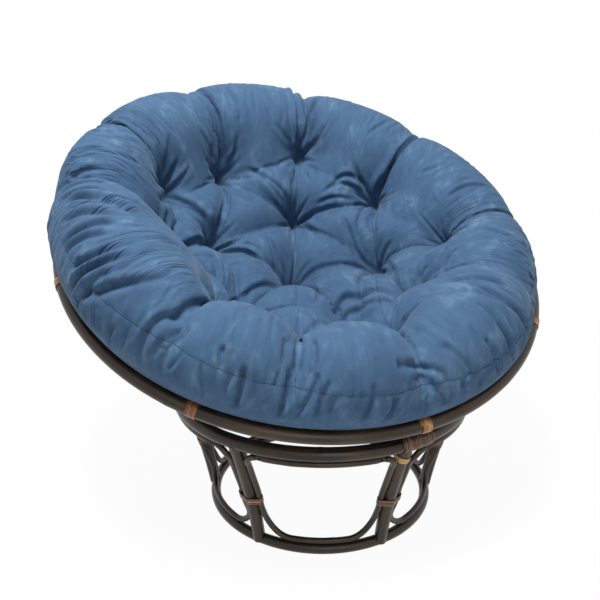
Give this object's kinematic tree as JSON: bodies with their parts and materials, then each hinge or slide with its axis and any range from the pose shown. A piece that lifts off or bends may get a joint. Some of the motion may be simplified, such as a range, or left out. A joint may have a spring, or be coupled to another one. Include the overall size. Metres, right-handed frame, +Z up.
{
  "type": "papasan chair",
  "caption": "Round rattan bowl chair: a tilted bowl of bent poles lies loose on a cone-shaped pole stand and holds a tufted suede pad.",
  "frame": {"origin": "bottom centre of the chair's bounding box, on the floor", "axes": "+X to the sitter's left as seen from the front of the chair, +Y to the back, +Z up; the bowl opens towards -Y"},
  "size_m": [1.067, 0.9698, 0.8964],
  "materials": {
    "dark_pole": "satin",
    "thin_pole": "satin",
    "peel": "satin",
    "pale_peel": "satin",
    "suede": "matte"
  },
  "bodies": {
    "stand": {"top_ring": "dark_pole", "bottom_ring": "dark_pole", "post_1": "dark_pole", "post_2": "dark_pole", "post_3": "dark_pole", "post_4": "dark_pole", "post_5": "dark_pole", "post_6": "dark_pole", "panel_loop_1": "thin_pole", "panel_loop_2": "thin_pole", "panel_loop_3": "thin_pole", "panel_loop_4": "thin_pole", "panel_loop_5": "thin_pole", "panel_loop_6": "thin_pole", "post_band_1": "peel", "post_band_2": "peel", "post_band_3": "peel", "post_band_4": "peel", "post_band_5": "peel", "post_band_6": "peel", "post_strap_1": "pale_peel", "post_strap_2": "pale_peel", "splice_wrap": "peel"},
    "bowl": {"rim": "dark_pole", "hub_ring": "thin_pole", "lower_hoop": "thin_pole", "upper_hoop": "thin_pole", "rib_1": "thin_pole", "rib_2": "thin_pole", "rib_3": "thin_pole", "rib_4": "thin_pole", "rib_5": "thin_pole", "rib_6": "thin_pole", "rib_7": "thin_pole", "rib_8": "thin_pole", "rim_binding_1": "peel", "rim_binding_2": "peel", "rim_binding_3": "peel", "rim_binding_4": "peel", "rim_binding_5": "peel", "rim_binding_6": "peel", "rim_binding_7": "peel", "rim_binding_8": "peel"},
    "pad": {"cushion": "suede"}
  },
  "joints": [
    {"name": "bowl_tilt", "type": "hinge", "parent": "stand", "child": "bowl", "pos_m": [0, -0.11044, 0.78041], "axis": [1, 0, 0], "range_deg": [-27, 2]},
    {"name": "cushion_lift", "type": "slide", "parent": "bowl", "child": "pad", "axis": [0, -0.4541, 0.891], "range_m": [0, 0.35]}
  ]
}
